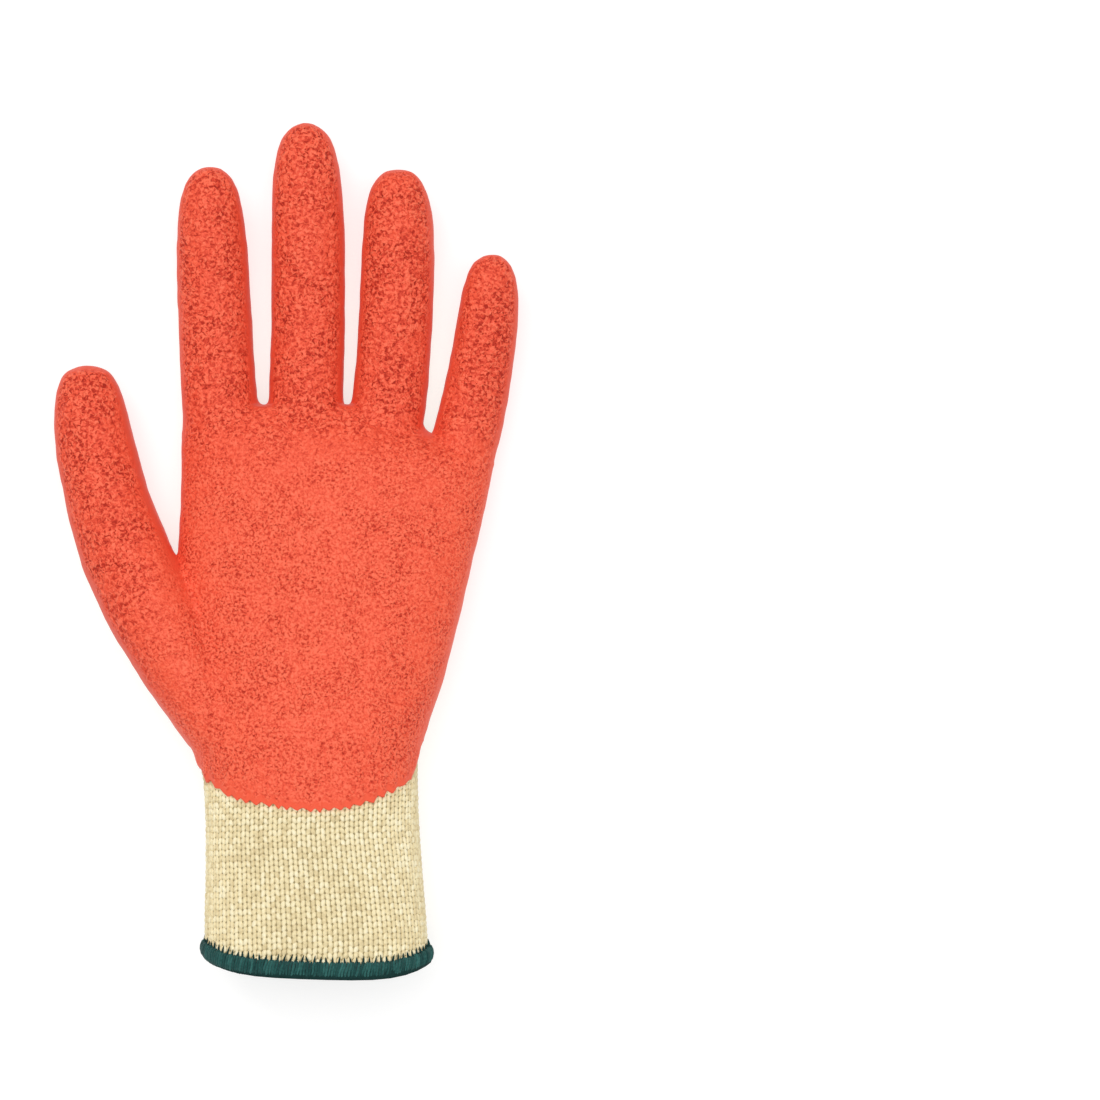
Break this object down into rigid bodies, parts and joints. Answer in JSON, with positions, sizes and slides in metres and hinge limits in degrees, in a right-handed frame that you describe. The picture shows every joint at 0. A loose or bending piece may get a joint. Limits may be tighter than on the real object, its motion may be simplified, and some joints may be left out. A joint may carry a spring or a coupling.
{
  "type": "latex coated grip glove",
  "caption": "Left-hand work glove: seamless knit with an elastic cuff and overlocked hem, dipped in crinkled rubber over the palm and fingertips",
  "frame": {"origin": "on the surface the glove lies on, under the middle of its bounding box", "axes": "+Y points from the cuff's mouth to the fingertips, +Z out of the palm, and the thumb is at -X"},
  "size_m": [0.1372, 0.2502, 0.0449],
  "materials": {
    "knit": "natural cream knit with open stitches",
    "elastic_knit": "natural cream knit plated with elastic",
    "latex": "crinkled coral latex, matt with a slight sheen",
    "hem_thread": "dark teal overlock thread"
  },
  "bodies": {
    "root": {"knit_liner": "knit", "elastic_cuff": "elastic_knit", "latex_coat": "latex", "overlock_hem": "hem_thread"}
  },
  "joints": []
}
